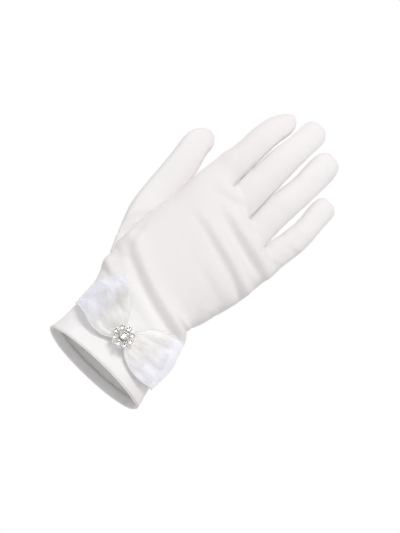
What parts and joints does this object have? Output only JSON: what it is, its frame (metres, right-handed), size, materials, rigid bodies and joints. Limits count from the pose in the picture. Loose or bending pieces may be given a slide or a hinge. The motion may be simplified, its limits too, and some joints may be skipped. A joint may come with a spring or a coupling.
{
  "type": "dress glove",
  "caption": "Wrist-length dress glove of stretch satin for the right hand, in its worn form and hollow, with a sheer ribbon bow and a flower of clear stones on the back of the wrist.",
  "frame": {"origin": "centre of the cuff's mouth, where the wrist goes in", "axes": "+Z from the cuff to the fingertips, -Y out of the back of the hand, -X to the thumb"},
  "size_m": [0.1083, 0.061, 0.2301],
  "materials": {
    "satin": "white matte stretch satin with a soft sheen",
    "organza": "sheer white organza ribbon with woven white edges",
    "silver": "bright silver-coloured plating",
    "crystal": "clear cut stones"
  },
  "bodies": {
    "root": {"back_panel": "satin", "palm_panel": "satin", "thumb": "satin", "cuff_hem": "satin", "bow_loop_left": "organza", "bow_loop_right": "organza", "bow_knot": "organza", "brooch_setting": "silver", "centre_stone": "crystal", "outer_stone_1": "crystal", "outer_stone_2": "crystal", "outer_stone_3": "crystal", "outer_stone_4": "crystal", "outer_stone_5": "crystal", "outer_stone_6": "crystal", "outer_stone_7": "crystal", "outer_stone_8": "crystal"}
  },
  "joints": []
}
